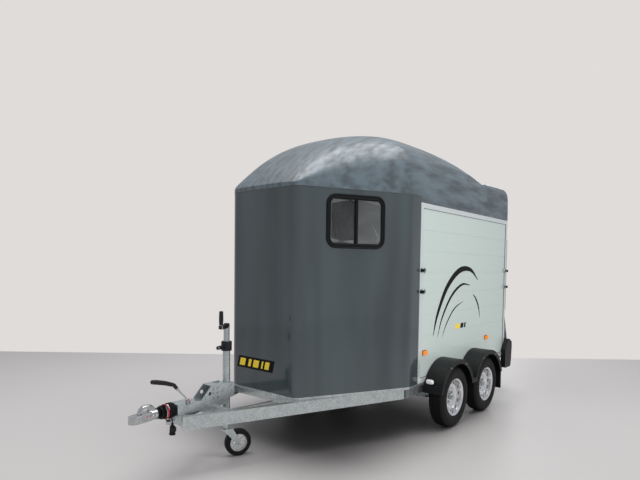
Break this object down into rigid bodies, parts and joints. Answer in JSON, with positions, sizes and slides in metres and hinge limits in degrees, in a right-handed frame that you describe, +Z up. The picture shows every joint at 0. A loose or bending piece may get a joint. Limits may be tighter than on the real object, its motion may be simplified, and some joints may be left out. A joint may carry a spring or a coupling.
{
  "type": "horse trailer",
  "caption": "Horse trailer with a V-shaped moulded front, domed roof, plank side walls, tandem wheels, jockey wheel, overrun coupling, groom door, rear ramp and hatch.",
  "frame": {"origin": "on the ground under the middle of the bounding box, with the cables left out", "axes": "+X forwards to the coupling, +Y to the trailer's left, +Z up"},
  "size_m": [4.762, 2.1866, 2.88],
  "materials": {
    "galvanised": "spangled zinc, satin",
    "moulding": "glossy slate grey moulding",
    "planks": "satin",
    "profiles": "satin",
    "black_plastic": "matt",
    "black_gloss": "glossy",
    "rubber": "matt",
    "tread": "matt",
    "wheel_silver": "silver",
    "zinc_plated": "bright zinc",
    "amber": "glossy",
    "clear_lens": "glossy",
    "red_lens": "glossy",
    "red_cable": "glossy",
    "tinted_glass": "tinted",
    "board": "sealed",
    "padding": "satin"
  },
  "bodies": {
    "trailer": {"chassis_frame": "galvanised", "drawbar": "galvanised", "floor_rail": "galvanised", "floor_board": "board", "front_shell": "moulding", "roof_shell": "moulding", "side_wall_left": "planks", "side_wall_right": "planks", "side_frame_left": "profiles", "side_frame_right": "profiles", "rear_portal": "galvanised", "rear_brackets": "galvanised", "mudguard_left": "black_plastic", "mudguard_right": "black_plastic", "mudflaps": "rubber", "window_frame": "black_gloss", "window_glass": "tinted_glass", "axle_front": "galvanised", "axle_rear": "galvanised", "overrun_housing": "galvanised", "drawshaft": "rubber", "coupling_head": "zinc_plated", "partition": "padding", "breast_bars": "padding", "side_markers": "amber", "front_lamps": "clear_lens", "lamp_boxes": "black_plastic", "lamp_lenses": "red_lens", "tie_rings": "black_plastic", "jockey_clamp": "galvanised", "jockey_tube": "galvanised", "breakaway_cable": "red_cable", "cable_lead": "rubber", "cable_coil": "rubber", "cable_tail": "rubber", "plug": "black_plastic", "door_hinges": "galvanised", "hatch_hinges": "galvanised", "ramp_latches": "galvanised"},
    "handbrake": {"brake_lever": "galvanised"},
    "jockey_leg": {"jockey_leg": "galvanised"},
    "jockey_wheel": {"jockey_tyre": "rubber", "jockey_rim": "wheel_silver"},
    "ramp": {"ramp_panel": "planks", "ramp_frame": "galvanised", "ramp_battens": "rubber"},
    "groom_door": {"door_panel": "moulding", "door_window": "black_gloss", "door_knuckles": "galvanised", "door_handle": "black_plastic"},
    "hatch": {"hatch_panel": "moulding"},
    "wheel_front_left": {"tyre_front_left": "tread", "rim_front_left": "wheel_silver"},
    "wheel_front_right": {"tyre_front_right": "tread", "rim_front_right": "wheel_silver"},
    "wheel_rear_left": {"tyre_rear_left": "tread", "rim_rear_left": "wheel_silver"},
    "wheel_rear_right": {"tyre_rear_right": "tread", "rim_rear_right": "wheel_silver"}
  },
  "joints": [
    {"name": "wheel_front_left_spin", "type": "hinge", "parent": "trailer", "child": "wheel_front_left", "pos_m": [-0.491, 0.9875, 0.297], "axis": [0, 1, 0], "continuous": true},
    {"name": "wheel_front_right_spin", "type": "hinge", "parent": "trailer", "child": "wheel_front_right", "pos_m": [-0.491, -0.9875, 0.297], "axis": [0, 1, 0], "continuous": true},
    {"name": "wheel_rear_left_spin", "type": "hinge", "parent": "trailer", "child": "wheel_rear_left", "pos_m": [-1.271, 0.9875, 0.297], "axis": [0, 1, 0], "continuous": true},
    {"name": "wheel_rear_right_spin", "type": "hinge", "parent": "trailer", "child": "wheel_rear_right", "pos_m": [-1.271, -0.9875, 0.297], "axis": [0, 1, 0], "continuous": true},
    {"name": "jockey_swivel", "type": "hinge", "parent": "trailer", "child": "jockey_leg", "pos_m": [1.529, 0, 0.3], "axis": [0, 0, 1], "continuous": true},
    {"name": "jockey_spin", "type": "hinge", "parent": "jockey_leg", "child": "jockey_wheel", "pos_m": [1.43628, 0.03746, 0.11], "axis": [0.3746, 0.9272, 0], "continuous": true},
    {"name": "handbrake_lift", "type": "hinge", "parent": "trailer", "child": "handbrake", "pos_m": [1.932, 0.072, 0.545], "axis": [0, -1, 0], "range_deg": [-18, 35]},
    {"name": "ramp_hinge", "type": "hinge", "parent": "trailer", "child": "ramp", "pos_m": [-2.265, 0, 0.496], "axis": [0, -1, 0], "range_deg": [0, 105]},
    {"name": "groom_door_hinge", "type": "hinge", "parent": "trailer", "child": "groom_door", "pos_m": [0.32928, -0.81102, 1.345], "axis": [0, 0, -1], "range_deg": [0, 110]},
    {"name": "hatch_hinge", "type": "hinge", "parent": "trailer", "child": "hatch", "pos_m": [-2.245, 0, 2.62], "axis": [0, 1, 0], "range_deg": [0, 85]}
  ]
}
